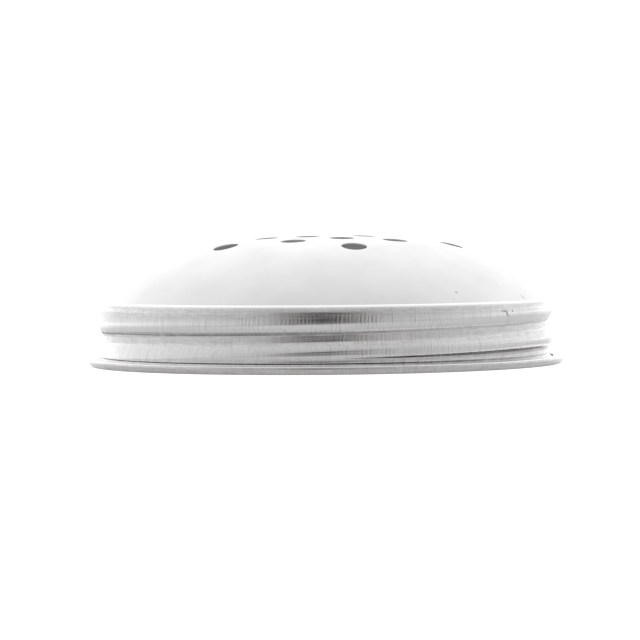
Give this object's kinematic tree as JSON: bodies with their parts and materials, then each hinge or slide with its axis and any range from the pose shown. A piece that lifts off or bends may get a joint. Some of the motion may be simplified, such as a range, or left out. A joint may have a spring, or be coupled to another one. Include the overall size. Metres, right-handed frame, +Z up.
{
  "type": "flower frog lid",
  "caption": "Low domed jar lid of thin sheet metal with round stem holes; the dome is an insert that turns in a screw band with a rolled thread and curled bead.",
  "frame": {"origin": "on the lid's axis, at the level of the bottom face of the band's bead", "axes": "+Z up along the lid's axis through the dome, -Y towards the front"},
  "size_m": [0.0744, 0.0744, 0.0204],
  "materials": {
    "band_metal": "drawn and rolled, with fine chatter marks",
    "dome_metal": "smooth satin"
  },
  "bodies": {
    "screw_band": {"screw_band": "band_metal"},
    "frog_dome": {"frog_dome": "dome_metal"}
  },
  "joints": [
    {"name": "dome_turn", "type": "hinge", "parent": "screw_band", "child": "frog_dome", "pos_m": [0, 0, 0], "axis": [0, 0, 1], "continuous": true}
  ]
}
